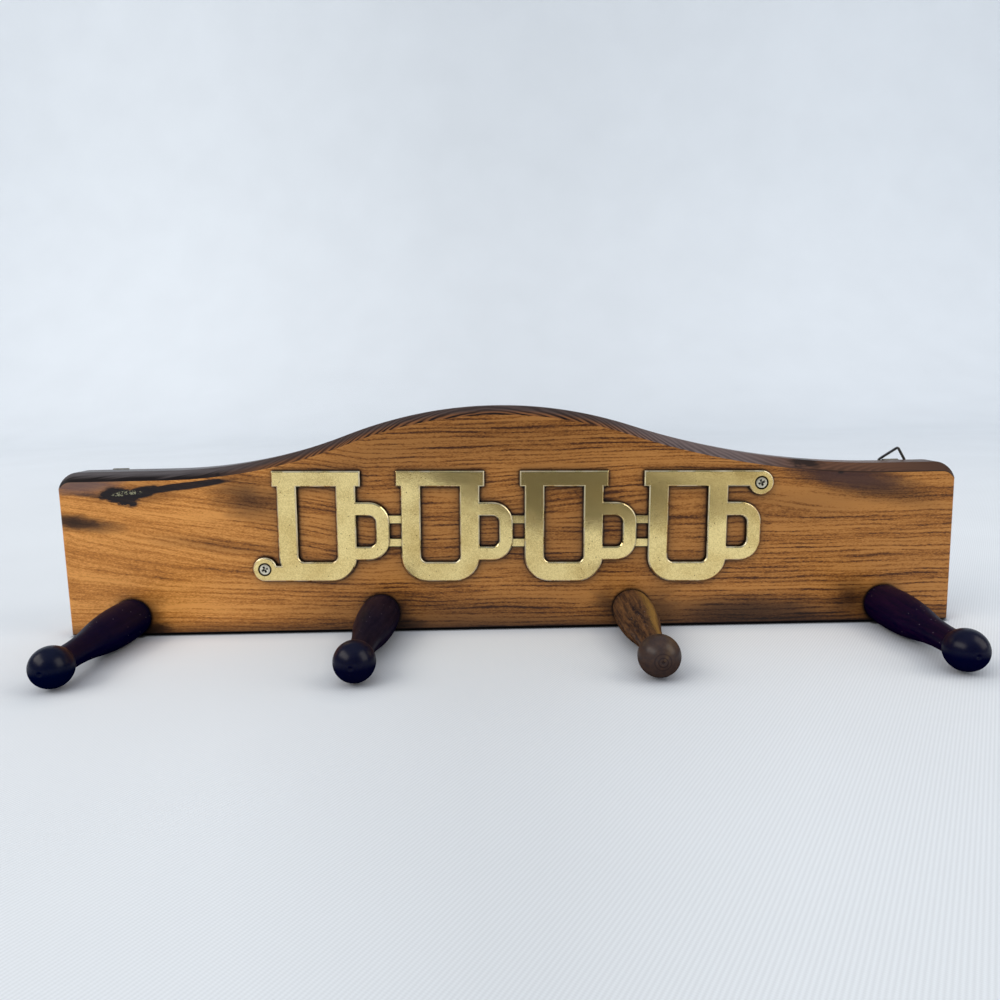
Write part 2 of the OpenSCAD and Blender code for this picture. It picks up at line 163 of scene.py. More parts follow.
class PegSettings(bpy.types.PropertyGroup):
    """The four turned pegs."""

    barrel_arc: length("Barrel arc", "Radius of the arc that the barrel's side follows", 150)
    barrel_out: length("Barrel distance", "Distance from the board to the fullest place", 13)
    neck: length("Neck", "Diameter of the neck", 11.6)
    neck_out: length("Neck distance", "Distance from the board to the neck", 61.4)
    ball: length("Ball", "Diameter of the ball", 18.5)
    ball_out: length("Ball distance", "Distance from the board to the middle of the ball", 74.8)
    dimple: length("Dimple", "Diameter of the dimple in the tip of the ball", 2.2)
    tenon: length("Tenon", "Diameter of the tenon", 12.7)
    varnish: share("Varnish", "Strength of the varnish over the balls", 0.42)
    sapwood: colour("Pale side", "Ochre streak along the third peg", (156, 118, 58))


class HangerSettings(bpy.types.PropertyGroup):
    """The two straps, their screws and the wire rings."""

    strap: length("Strap thickness", "Thickness of the strap's metal", 0.7)
    strap_width: length("Strap width", "Width of the strap", 8)
    curl: length("Curl", "Inside radius of the curled end", 0.9)
    screw_drop: length("Screw distance", "Distance from the hinge to the strap's screw", 14)
    curl_turn: angle("Curl turn", "How far the strap's end is curled round", 260)
    steel: colour("Strap steel", "Plated steel of the straps and their screws", (176, 170, 152))
    wire: colour("Wire", "Steel of the rings", (110, 110, 110))


class StageSettings(bpy.types.PropertyGroup):
    """The floor, the light and the camera."""

    cloth: colour("Cloth", "Pale cloth on the floor and behind the rack", (225, 229, 232))
    daylight: colour("Daylight", "Colour of the light all round", (212, 225, 244))
    camera_x: length("Camera across", "How far the camera stands right of the middle", 0.94)
    camera_y: length("Camera distance", "How far the camera stands in front of the board's middle", 407.13)
    camera_z: length("Camera height", "Height of the camera above the board's bottom edge", 122.59)
    lens: bpy.props.FloatProperty(
        name="Lens", description="Focal length on a sensor 36 mm wide", unit="CAMERA", default=28.32)
    yaw: angle("Yaw", "How far the camera looks to the side", 0.494)
    pitch: angle("Pitch", "How far the camera looks down", 7.906)
    roll: angle("Roll", "How far the camera leans", -1.245)


class RackSettings(bpy.types.PropertyGroup):
    """All settings of the rack."""

    board: bpy.props.PointerProperty(type=BoardSettings)
    plate: bpy.props.PointerProperty(type=PlateSettings)
    pegs: bpy.props.PointerProperty(type=PegSettings)
    hangers: bpy.props.PointerProperty(type=HangerSettings)
    stage: bpy.props.PointerProperty(type=StageSettings)


class Nodes:
    """Shader nodes of a material or of the world, added one call at a time."""

    def __init__(self, owner):
        owner.use_nodes = True
        self.tree = owner.node_tree

    def add(self, kind, inputs=None, **settings):
        """A new node, with other nodes' outputs or plain values for its inputs."""
        made = self.tree.nodes.new(kind)
        for key, value in settings.items():
            setattr(made, key, value)
        for key, value in (inputs or {}).items():
            self.feed(made.inputs[key], value)
        return made

    def feed(self, socket, value):
        """Links another node's output to the socket, or sets a plain value on it."""
        if isinstance(value, bpy.types.NodeSocket):
            self.tree.links.new(value, socket)
        elif socket.type == "RGBA":
            socket.default_value = (*value, 1)
        else:
            socket.default_value = value

    def mapped(self, place, scale=(1, 1, 1), middle=(0, 0, 0), turn=(0, 0, 0), kind="POINT"):
        inputs = {"Vector": place, "Location": middle, "Rotation": turn, "Scale": scale}
        return self.add("ShaderNodeMapping", inputs, vector_type=kind).outputs[0]

    def parts(self, vector):
        return tuple(self.add("ShaderNodeSeparateXYZ", {0: vector}).outputs)

    def joined(self, x, y, z):
        return self.add("ShaderNodeCombineXYZ", {0: x, 1: y, 2: z}).outputs[0]

    def math(self, operation, first, second=0.0, third=0.0):
        inputs = {0: first, 1: second, 2: third}
        return self.add("ShaderNodeMath", inputs, operation=operation).outputs[0]

    def times(self, first, second, plus=0.0):
        """The first value times the second, plus a third."""
        return self.math("MULTIPLY_ADD", first, second, plus)

    def larger(self, first, second):
        return self.math("MAXIMUM", first, second)

    def swayed(self, value, noise, weight):
        """The value moved up where the noise is over its middle of 0.5, and down where it is under."""
        return self.times(self.math("SUBTRACT", noise, 0.5), weight, value)

    def lowered(self, value, where, amount):
        """The value made smaller by a share of itself, in full where the mask is 1."""
        return self.times(value, self.times(where, -amount, 1.0))

    def between(self, value, low, high):
        """0 up to low, 1 from high on, and a smooth step between them."""
        inputs = {"Value": value, "From Min": low, "From Max": high}
        return self.add("ShaderNodeMapRange", inputs, interpolation_type="SMOOTHSTEP").outputs[0]

    def scaled(self, value, low, high, to_low, to_high):
        """Carries a value from one range straight to another, and holds it there."""
        inputs = {"Value": value, "From Min": low, "From Max": high, "To Min": to_low, "To Max": to_high}
        return self.add("ShaderNodeMapRange", inputs, clamp=True).outputs[0]

    def noise(self, place, scale=None, detail=2.0, roughness=0.5):
        """Soft noise. The scale gives its cells per millimetre, or the place has them already."""
        if scale:
            place = self.mapped(place, scale)
        inputs = {"Vector": place, "Scale": 1, "Detail": detail, "Roughness": roughness}
        return self.add("ShaderNodeTexNoise", inputs).outputs["Fac"]

    def specks(self, place, radius, keep):
        """Round specks in some of the cells of a random grid."""
        node = self.add("ShaderNodeTexVoronoi", {"Vector": place, "Scale": 1})
        spot = self.between(node.outputs["Distance"], radius, radius * 0.5)
        chance, _, _ = self.parts(node.outputs["Color"])
        return self.times(spot, self.math("LESS_THAN", chance, keep))

    def mix(self, amount, first, second, blend="MIX"):
        inputs = {0: amount, 6: first, 7: second}
        return self.add("ShaderNodeMix", inputs, data_type="RGBA", blend_type=blend).outputs[2]

    def ramp(self, value, *stops):
        """Colours along a value, each stop being its place and its colour."""
        node = self.add("ShaderNodeValToRGB", {0: value})
        steps = node.color_ramp.elements
        for _ in stops[2:]:
            steps.new(0.5)
        for step, (place, shade) in zip(steps, stops):
            step.position = place
            step.color = (*shade, 1)
        return node.outputs[0]

    def patch(self, place, middle, size, lean, core):
        """1 in the core of an oval on the XZ plane, fading to 0 at its rim."""
        endless = 1e6
        oval = self.mapped(place, (size[0], endless, size[1]), (middle[0], 0, middle[1]),
                           (0, -math.radians(lean), 0), "TEXTURE")
        reach = self.add("ShaderNodeVectorMath", {0: oval}, operation="LENGTH")
        return self.between(reach.outputs["Value"], 1.0, core)

    def patches(self, *places):
        """The strongest of several patches."""
        most = 0.0
        for place in places:
            most = self.larger(most, self.patch(*place))
        return most

    def hollows(self, reach, samples=6):
        """1 in the open, falling to 0 in corners that other surfaces close in."""
        return self.add("ShaderNodeAmbientOcclusion", {"Distance": reach}, samples=samples).outputs["AO"]

    def soiled_and_shaded(self, base, dirt_and_shade, reach, shut, clear, most, samples=6):
        """The base colour with a darker colour painted in its corners, at most where the hollows are shut:
        painted shade, with dirt as well on some pieces.
        """
        return self.mix(self.scaled(self.hollows(reach, samples), shut, clear, most, 0.0), base, dirt_and_shade)

    def relief(self, height, depth, strength, under=None):
        """Bends the surface's light by a height, in metres at full height, over a coarser relief."""
        inputs = {"Strength": strength, "Distance": depth, "Height": height}
        if under is not None:
            inputs["Normal"] = under
        return self.add("ShaderNodeBump", inputs).outputs[0]


class Finish(Nodes):
    """A material with one surface."""

    def __init__(self, name):
        self.material = bpy.data.materials.new(name)
        super().__init__(self.material)
        self.surface = self.tree.nodes["Principled BSDF"]

    def set(self, name, value):
        """Sets one property of the surface itself."""
        self.feed(self.surface.inputs[name], value)

    def point(self):
        """The place on the piece in millimetres."""
        place = self.add("ShaderNodeTexCoord").outputs["Object"]
        return self.mapped(place, scale=(1 / MM, 1 / MM, 1 / MM))


def take(piece):
    """Makes a piece the only one that operators act on."""
    bpy.ops.object.select_all(action="DESELECT")
    piece.select_set(True)
    bpy.context.view_layer.objects.active = piece


def edit(piece, action="DESELECT"):
    take(piece)
    bpy.ops.object.mode_set(mode="EDIT")
    bpy.ops.mesh.select_all(action=action)


def done():
    bpy.ops.object.mode_set(mode="OBJECT")


def edit_edges(piece, wanted):
    """Goes into edit mode with the edges selected whose two ends are both wanted."""
    edit(piece)
    bpy.context.tool_settings.mesh_select_mode = (False, True, False)
    done()
    passed = [wanted(vertex.co) for vertex in piece.data.vertices]
    piece.data.vertices.foreach_set("select", passed)
    for edge in piece.data.edges:
        edge.select = all(passed[end] for end in edge.vertices)
    for face in piece.data.polygons:
        face.select = False
    bpy.ops.object.mode_set(mode="EDIT")


def placed(name, scale=(1, 1, 1)):
    """Names the shape that was just added, and puts its place and size into its mesh."""
    piece = bpy.context.object
    piece.name = name
    piece.scale = scale
    take(piece)
    bpy.ops.object.transform_apply(location=True, rotation=True, scale=True)
    return piece


def settle(piece, smooth_below=40):
    """Puts the piece's place into its mesh, turns its faces outwards and smooths its round parts."""
    take(piece)
    bpy.ops.object.transform_apply(location=True, rotation=True, scale=True)
    edit(piece, "SELECT")
    bpy.ops.mesh.normals_make_consistent(inside=False)
    done()
    bpy.ops.object.shade_smooth_by_angle(angle=math.radians(smooth_below))


def keep_flats(piece):
    """Leaves large faces flat where they meet a small rounding."""
    modify(piece, "WEIGHTED_NORMAL", weight=100, keep_sharp=True)


def modify(piece, kind, **settings):
    """Adds one modifier and applies it."""
    take(piece)
    modifier = piece.modifiers.new(kind.title(), kind)
    for key, value in settings.items():
        setattr(modifier, key, value)
    bpy.ops.object.modifier_apply(modifier=modifier.name)


def round_edges(piece, width, above):
    """Rounds the edges whose faces turn by more than above, in degrees."""
    modify(piece, "BEVEL", width=width, segments=2, limit_method="ANGLE",
           angle_limit=math.radians(above), use_clamp_overlap=False)


def merged_copy(node, name):
    """A copy of a solid from the frame, with its loose triangles joined and its flat faces whole."""
    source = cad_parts[node]
    piece = bpy.data.objects.new(name, source.data.copy())
    bpy.context.collection.objects.link(piece)
    piece.data.materials.clear()
    nearly_flat = math.radians(0.3)
    edit(piece, "SELECT")
    bpy.ops.mesh.remove_doubles(threshold=0.002 * MM)
    bpy.ops.mesh.dissolve_limited(angle_limit=nearly_flat)
    done()
    return piece


def show(piece, node, body, material):
    """Hands a finished piece to the frame in place of its solid."""
    piece.data.materials.clear()
    piece.data.materials.append(material)
    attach(piece, body)
    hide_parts(node)


def turned(name, x, z, profile, sides):
    """A piece turned about an axis along Y: a disc drawn out step by step and resized at each."""
    y, radius = profile[0]
    bpy.ops.mesh.primitive_circle_add(
        vertices=sides, radius=radius, fill_type="NGON", location=(x, y, z), rotation=(math.pi / 2, 0, 0))
    piece = placed(name)
    edit(piece, "SELECT")
    for next_y, next_radius in profile[1:]:
        bpy.ops.mesh.extrude_region_move(TRANSFORM_OT_translate={"value": (0, next_y - y, 0)})
        grow = next_radius / radius
        bpy.ops.transform.resize(value=(grow, 1, grow), center_override=(x, next_y, z))
        y, radius = next_y, next_radius
    done()
    settle(piece)
    return piece


def axis_of(node):
    """Where the axis of a turned solid stands, where its two ends are, and its largest radius."""
    low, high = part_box(node)
    return (low.x + high.x) / 2, (low.z + high.z) / 2, low.y, high.y, (high.x - low.x) / 2


def cut_cross(piece, x, z, head_y, out, width, span, depth, turn):
    """Cuts a tapered cross recess into a screw's head. out is -1 where the head faces -Y."""
    floor_share = (0.5, 1, 0.6)
    for arm in range(2):
        bpy.ops.mesh.primitive_cube_add(size=1, location=(x, head_y, z))
        cutter = placed("recess", (span, 2 * depth, width))
        edit(cutter)
        done()
        for face in cutter.data.polygons:
            face.select = face.normal.y * out < -0.9
        bpy.ops.object.mode_set(mode="EDIT")
        bpy.ops.transform.resize(value=floor_share, center_override=(x, head_y - out * depth, z))
        bpy.ops.mesh.select_all(action="SELECT")
        bpy.ops.transform.rotate(
            value=turn + arm * math.pi / 2, orient_axis="Y", center_override=(x, head_y, z))
        done()
        modify(piece, "BOOLEAN", operation="DIFFERENCE", solver="EXACT", object=cutter)
        bpy.data.objects.remove(cutter)


# Where the board's face is darker, from its own tone and from painted shadows of the pegs: middle (across,
# up), half size, lean in degrees, strength
DARK_TONE_AND_SHADOW_PLACES = (
    ((-221, 60.0), (32, 6.0), -9, 0.90),
    ((-214, 74.4), (20, 1.8), -4, 0.62),
    ((-132, 71.0), (27, 16.0), -20, 0.60),
    ((-150, 47.0), (50, 6.0), -8, 0.22),
    ((-216, 80.0), (26, 5.5), 3, 0.50),
    ((-188, 75.0), (36, 8.5), 2, 0.42),
    ((176, 75.0), (46, 13.0), -12, 0.58),
    ((192, 70.0), (48, 11.0), -17, 0.36),
    ((162, 78.0), (24, 6.5), -3, 0.40),
    ((150, 62.0), (60, 16.0), 0, 0.18),
    # The next row is darker low on the right: partly the wood's own tone, partly painted shadow beside the
    # third and fourth pegs
    ((125, 7.0), (80, 13.0), 0, 0.76),
    ((140, 24.0), (60, 5.0), -3, 0.08),
    ((-25, 8.0), (125, 17.0), 0, 0.42),
    ((-6, 100.0), (150, 26.0), 0, 0.24),
    ((-75, 86.0), (50, 14.0), 12, 0.12),
    ((35, 50.0), (120, 40.0), 0, 0.16),
    # The rows from here on are painted shadows of the pegs on the face, beside and below each peg
    ((-187, 12.0), (14, 12.0), 0, 0.42),
    ((-185, 3.0), (15, 6.0), 0, 0.85),
    ((-57, 12.0), (12, 12.0), 0, 0.45),
    ((-54, 3.0), (14, 5.0), 0, 0.80),
    ((52, 12.0), (12, 14.0), 0, 0.50),
    ((80, 12.0), (14, 14.0), 0, 0.40),
    ((178, 13.0), (16, 14.0), 0, 0.62),
)
# The black streak at the upper left: middle, half size, lean in degrees
KNOT_PLACES = (
    ((-196.5, 73.3), (11.5, 5.4), -12),
    ((-195.0, 71.0), (9, 3.6), -14),
    ((-166, 77.6), (31, 2.3), 6),
    ((-185, 75.2), (14, 3.4), 12),
)


def board_wood(look):
    """Stained and varnished softwood: growth layers that run through the thickness."""
    make = Finish("board_wood")
    point = make.point()
    x, y, z = make.parts(point)
    depth = make.math("SUBTRACT", y, FACE_Y / MM)

    # Growth layers: they wander, rise towards the left end and arch upwards right of the middle
    level = make.swayed(z, make.noise(point, (0.012, 0.02, 0.035)), 4.0)
    level = make.swayed(level, make.noise(point, (0.05, 0.06, 0.10)), 0.9)
    left = make.math("MINIMUM", make.math("ADD", x, 70.0), 0.0)
    height = make.times(left, make.scaled(z, 15, 55, 0.03, 0.16), level)
    height = make.times(make.patch(point, (92, 73), (114, 22), -2, 0.2), -7.0, height)
    layer = make.times(depth, -1.9, height)

    def layered(along, cut, across, detail=2.0, roughness=0.5):
        """Noise with so many cells per millimetre along the board and across its layers, cut at one place."""
        place = make.joined(make.times(x, along), cut, make.times(layer, across))
        return make.noise(place, detail=detail, roughness=roughness)

    inwards = make.times(y, 1.5)
    drift = layered(0.02, 0.0, 0.12)
    fray = layered(0.22, 4.0, 1.0, detail=3)
    stripe = layered(0.012, 9.0, 0.75, detail=3)
    belt = layered(0.010, 3.0, 0.14)
    fibre = layered(0.05, inwards, 2.4, detail=3, roughness=0.6)
    pores = layered(0.5, inwards, 1.9, detail=3, roughness=0.7)
    grit = make.noise(point, (0.9, 1.5, 2.6))

    # Growth lines between the layers, and the finer grain over them
    turn = make.times(drift, 1.6, make.math("DIVIDE", layer, look.line_gap / MM))
    turn = make.swayed(turn, fray, 0.5)
    line = make.between(make.math("SINE", make.times(turn, FULL_TURN)), -0.3, 1.0)
    strength = make.scaled(layered(0.03, 5.0, 0.3), 0.38, 0.62, 0.20, 1.0)
    strength = make.times(strength, make.scaled(x, -190, -90, 0.45, 1.0))
    strength = make.lowered(strength, make.patch(point, (182, 70), (70, 24), -12, 0.3), 0.6)
    grain = make.times(make.times(line, strength), 0.55, -0.21)
    for part, weight in ((stripe, 0.9), (fibre, 0.9), (pores, 1.1), (grit, 0.9), (belt, 1.5)):
        grain = make.swayed(grain, part, weight)
    grain = make.times(grain, make.scaled(x, -190, -60, 0.85, 1.3), 0.40)
    wood = make.ramp(grain, (0.0, look.light_wood), (0.45, look.mid_wood), (1.0, look.dark_wood))

    # Stains and marks on the face, painted shadows beside the pegs and painted shade along the bottom, with
    # rims that are stirred along the grain
    stir = make.math("SUBTRACT", make.noise(point, (0.10, 0.05, 0.32), detail=4, roughness=0.65), 0.5)
    shift = make.joined(make.times(stir, 18.0), 0.0, make.times(stir, 3.5))
    moved = make.add("ShaderNodeVectorMath", {0: point, 1: shift}, operation="ADD").outputs[0]
    tone = make.scaled(x, -165, -80, 1.0, 0.79)
    for middle, size, lean, amount in DARK_TONE_AND_SHADOW_PLACES:
        tone = make.lowered(tone, make.patch(moved, middle, size, lean, 0.0), amount)
    # Painted shade along the bottom of the face, where the board stands on the floor
    tone = make.lowered(tone, make.between(z, 9.0, 0.0), 0.42)
    wood = make.mix(1.0, wood, make.ramp(tone, *DARK_TONE_AND_SHADOW_TINTS), "MULTIPLY")
    for middle, size, lean, core, amount, film in (
        ((-216, 80), (30, 8), 0, 0.2, 0.68, look.haze),
        ((174, 76), (42, 9), -10, 0.1, 0.5, look.bruise),
    ):
        wood = make.mix(make.times(make.patch(moved, middle, size, lean, core), amount), wood, film)
    knot = make.patches(*((moved, *place, 0.7) for place in KNOT_PLACES))
    wood = make.mix(make.times(knot, make.scaled(fibre, 0.3, 0.7, 0.94, 1.0)), wood, look.knot)
    flecks = make.between(make.noise(point, (1.1, 1.1, 2.0), detail=3), 0.5, 0.6)
    flecks = make.times(flecks, make.patch(moved, (-192, 74.9), (8.5, 1.6), 2, 0.5))
    wood = make.mix(make.times(flecks, 0.9), wood, FLECK)

    # The bevelled upper edge: dark slanting streaks on a paler ground, whose grey and slate stand partly for
    # a painted sheen
    _, normal_y, normal_z = make.parts(make.add("ShaderNodeNewGeometry").outputs["Normal"])
    edge = make.times(make.between(normal_y, -0.985, -0.93), make.between(normal_z, 0.08, 0.4))
    slant = make.math("DIVIDE", make.times(depth, -1.5, level), look.tooth_gap / MM)
    slant = make.times(drift, 3.0, slant)
    slant = make.math("ADD", slant, make.scaled(x, 145, 195, 0.0, 10.0))
    tooth = make.math("SINE", make.times(slant, FULL_TURN))
    for part, weight in ((fibre, 1.4), (stripe, 3.0), (fray, 2.0)):
        tooth = make.swayed(tooth, part, weight)
    tooth = make.between(tooth, -1.2, 1.1)
    for along, low, high, to_low, to_high in (
        (depth, 0.8, 4.0, 1.0, 0.45),
        (x, 30, 110, 1.0, 0.45),
        (x, -130, -60, 0.7, 1.0),
    ):
        tooth = make.times(tooth, make.scaled(along, low, high, to_low, to_high))
    black = make.scaled(make.swayed(depth, stripe, 5.0), 1.2, 3.4, 0.97, 0.18)
    foot_line = make.times(make.between(depth, 0.9, 0.25), make.between(x, 120, 165))
    for dark in (make.times(make.between(x, -95, -160), black), make.times(foot_line, 0.8),
                 make.scaled(x, 180, 224, 0.0, 0.5)):
        tooth = make.larger(tooth, dark)
    # The pale ground is brown low on the bevel and grey higher up and towards the ends: the grey is partly a
    # painted sheen
    pale = make.mix(make.between(depth, 0.4, 3.2), look.edge_low, look.edge_grey_sheen)
    pale = make.mix(make.times(make.between(x, -110, -170), 0.8), pale, EDGE_SLATE_SHEEN)
    pale = make.mix(make.between(x, 40, 90), pale, EDGE_GREY_SHEEN)
    pale = make.mix(make.between(x, 115, 160), pale, look.edge_red)
    wood = make.mix(edge, wood, make.mix(tooth, pale, look.edge_dark))
    scars = make.patches(
        (moved, (154.0, 83.0), (12, 2.6), -6, 0.4),
        (point, (-146.3, 83.2), (1.6, 1.1), 0, 0.5),
        (point, (170.5, 77.9), (2.2, 0.9), 0, 0.4),
    )
    wood = make.mix(make.times(scars, 0.85), wood, SCAR)

    # The underside in painted shade, the unvarnished back, and dirt and painted shade in the corners
    wood = make.mix(make.between(normal_z, -0.25, -0.7), wood, UNDERSIDE_SHADE)
    back = make.between(normal_y, 0.3, 0.8)
    wood = make.mix(back, wood, make.mix(make.between(grain, 0.05, 0.95), look.bare_wood, look.bare_line))
    # Dirt and painted shade where the pegs and the plate meet the face, and a painted shadow line round the
    # brass
    wood = make.soiled_and_shaded(wood, CORNER_DIRT_AND_SHADE, 6 * MM, 0.25, 0.95, 0.85)
    wood = make.soiled_and_shaded(wood, SEAM_DIRT_AND_SHADOW, 1.5 * MM, 0.55, 0.97, 1.0)

    make.set("Base Color", wood)
    make.set("Roughness", make.times(back, 0.3, make.scaled(grain, 0, 1, 0.36, 0.46)))
    make.set("Coat Weight", make.scaled(edge, 0, 1, look.varnish, 0.25 * look.varnish))
    make.set("Coat Roughness", 0.28)
    make.set("Specular IOR Level", make.scaled(edge, 0, 1, 0.22, 0.1))
    make.set("Normal", make.relief(make.math("SUBTRACT", 1.0, grain), 0.025 * MM, 0.5))
    return make.material


def peg_wood(name, settings, x, z, light, dark, tip, speckle, streak):
    """Dark varnished wood whose grain runs along the peg."""
    make = Finish(name)
    point = make.mapped(make.point(), middle=(-x / MM, 0, -z / MM))
    across, along, up = make.parts(point)
    grain = make.noise(point, (0.55, 0.03, 0.55), detail=4, roughness=0.6)
    fine = make.noise(point, (2.6, 0.16, 2.6), detail=3, roughness=0.65)
    mottle = make.noise(point, (0.9, 0.5, 0.9), detail=4, roughness=0.7)
    amount = 0.42
    for part, weight in ((grain, 1.6), (fine, 0.7), (mottle, speckle)):
        amount = make.swayed(amount, part, weight)
    wood = make.ramp(amount, (0.15, dark), (0.95, light))
    aside = make.math("ABSOLUTE", make.math("SUBTRACT", make.math("ARCTAN2", up, across), 1.0))
    aside = make.swayed(aside, fine, 1.1)
    pale = make.times(make.between(aside, 0.5, 0.0), streak)
    wood = make.mix(pale, wood, settings.sapwood)
    ball_start = (FACE_Y - settings.ball_out + 0.46 * settings.ball) / MM
    ball = make.between(along, ball_start, ball_start - 1.0)
    rubbed = make.mix(make.times(mottle, 0.8), tip, dark)
    wood = make.mix(make.times(ball, 0.85), wood, rubbed)
    worn = make.specks(make.mapped(point, (0.8, 0.5, 0.8), turn=(0.2, 0.3, 0.4)), 0.17, 0.12)
    worn = make.times(worn, make.math("SUBTRACT", 1.0, ball))
    wood = make.mix(make.times(worn, 0.6), wood, PEG_SPECK)
    reach = make.math("SQRT", make.times(across, across, make.times(up, up)))
    rings = make.math("SINE", make.times(reach, 4.0))
    rings = make.times(rings, make.times(ball, make.between(reach, 6.5, 2.0)))
    wood = make.mix(make.scaled(rings, 0.1, 0.9, 0.0, 0.7), wood, dark)
    # Dirt and painted shade in the hollows: round the peg's foot and in the dimple
    make.set("Base Color", make.soiled_and_shaded(wood, PEG_DIRT_AND_SHADE, 3 * MM, 0.2, 0.9, 0.8))
    smear = make.noise(point, (0.12, 0.05, 0.12), detail=3)
    make.set("Roughness", make.scaled(smear, 0.3, 0.7, 0.40, 0.55))
    _, _, facing = make.parts(make.add("ShaderNodeNewGeometry").outputs["Normal"])
    upper = make.between(facing, -0.2, 0.45)
    coat = make.scaled(ball, 0, 1, 0.18 * settings.varnish, settings.varnish)
    make.set("Coat Weight", make.times(coat, upper))
    make.set("Coat Roughness", 0.27)
    make.set("Specular IOR Level", make.times(upper, 0.05))
    height = make.times(rings, 0.6, make.times(fine, 0.9))
    make.set("Normal", make.relief(height, 0.05 * MM, 0.5))
    return make.material


def cast_brass(settings, seats):
    """Satin cast brass with a thin uneven film, dark pits, a painted glint on the bevel round every stroke,
    darkened side walls, painted shade in its corners, and a dark ring round its screws.
    """
    make = Finish("cast_brass")
    point = make.point()
    cloud = make.noise(point, (0.045, 0.05, 0.06), detail=3, roughness=0.55)
    grit = make.noise(point, (1.6, 1.6, 1.6), detail=4, roughness=0.65)
    film = make.swayed(cloud, grit, 0.5)
    brass = make.mix(make.scaled(film, 0.42, 0.7, 0.0, 0.8), settings.brass, settings.tarnish)
    brass = make.mix(make.scaled(grit, 0.42, 0.68, 0.0, 0.38), brass, BRASS_GRIT)
    pits = make.specks(make.mapped(point, (0.5, 0.5, 0.5)), 0.15, 0.30)
    brass = make.mix(make.times(pits, 0.85), brass, settings.grime_and_shade)
    _, normal_y, _ = make.parts(make.add("ShaderNodeNewGeometry").outputs["Normal"])
    wall = make.between(normal_y, -0.55, -0.25)
    # Painted glint: the bevel round every stroke is painted pale, patchy where the brass is rubbed
    rim_glint = make.times(make.between(normal_y, -0.97, -0.85), make.math("SUBTRACT", 1.0, wall))
    rubbed = make.noise(point, (0.12, 0.12, 0.12), detail=3)
    rim_glint = make.times(rim_glint, make.scaled(rubbed, 0.4, 0.58, 0.15, 1.0))
    brass = make.mix(rim_glint, brass, settings.rim_glint)
    # Painted shade in the corners; the side walls are darkened, and so is a ring round each screw
    shut = make.scaled(make.hollows(2.5 * MM), 0.3, 0.9, 1.0, 0.0)
    dirt_and_shade = make.larger(make.times(wall, 0.93), make.times(shut, 0.95))
    for place, reach in seats:
        apart = make.add(
            "ShaderNodeVectorMath", {0: make.mapped(point, (1, 0, 1)), 1: place}, operation="DISTANCE")
        ring = make.between(apart.outputs["Value"], reach + 0.95, reach + 0.5)
        dirt_and_shade = make.larger(dirt_and_shade, ring)
    brass = make.mix(dirt_and_shade, brass, settings.grime_and_shade)
    make.set("Base Color", brass)
    make.set("Metallic", 1.0)
    rough = make.scaled(film, 0.3, 0.75, settings.roughness - 0.05, settings.roughness + 0.12)
    rough = make.times(rim_glint, 0.3, rough)
    make.set("Roughness", make.times(dirt_and_shade, 0.3, rough))
    swell = make.noise(point, (0.08, 0.08, 0.08))
    waves = make.relief(swell, 0.3 * MM, 0.25)
    height = make.times(pits, -1.0, make.times(grit, 0.35))
    make.set("Normal", make.relief(height, 0.06 * MM, 0.5, waves))
    return make.material


def bright_metal(name, shade, roughness, wear):
    """Plated steel with fine scratches, and dirt and painted shade in its corners."""
    make = Finish(name)
    point = make.point()
    cloud = make.noise(point, (0.6, 0.6, 0.6), detail=4, roughness=0.65)
    scratch = make.noise(make.mapped(point, (6.0, 0.7, 0.9), turn=(0.3, 0.5, 0.2)), detail=3)
    dull = tuple(s * wear for s in shade)
    metal = make.mix(make.between(cloud, 0.4, 0.7), shade, dull)
    make.set("Base Color", make.soiled_and_shaded(metal, STEEL_DIRT_AND_SHADE, 1.2 * MM, 0.45, 0.92, 1.0))
    make.set("Metallic", 1.0)
    make.set("Roughness", make.scaled(cloud, 0.3, 0.7, roughness, roughness + 0.16))
    make.set("Normal", make.relief(scratch, 0.02 * MM, 0.5))
    return make.material


class RACK_OT_board(bpy.types.Operator):
    """Adds the varnished board with its rounded edges"""

    bl_idname = "mug_rack.board"
    bl_label = "Board"

    def execute(self, context):
        look = context.scene.mug_rack.board
        board = merged_copy("backboard", "camelback_board")
        round_edges(board, look.edge_round, 24)
        settle(board, 35)
        keep_flats(board)
        show(board, "backboard", RACK, board_wood(look))
        return {"FINISHED"}


class RACK_OT_plate(bpy.types.Operator):
    """Adds the cast brass plate with its softened edges"""

    bl_idname = "mug_rack.plate"
    bl_label = "Brass plate"

    def execute(self, context):
        settings = context.scene.mug_rack.plate
        plate = merged_copy("brass_plate", "mug_row_plate")
        round_edges(plate, settings.edge_round, 25)
        settle(plate, 35)
        keep_flats(plate)
        seats = []
        for side in SIDES:
            x, z, _, _, radius = axis_of("plate_screw_" + side)
            seats.append(((x / MM, 0, z / MM), radius / MM))
        show(plate, "brass_plate", RACK, cast_brass(settings, seats))
        return {"FINISHED"}


def thread(start_y, point_y, tip, shank, pitch, way):
    """The threaded end of a screw's profile. way is 1 where the screw points to +Y, and -1 to -Y."""
    steps = []
    root = 0.76 * shank
    y = start_y
    while way * y < way * point_y - tip:
        steps += [(y, shank), (y + way * 0.2 * pitch, root), (y + way * 0.8 * pitch, root)]
        y += way * pitch
    return steps + [(point_y - way * 1.6 * MM, 0.7 * shank), (point_y, 0.05 * MM)]


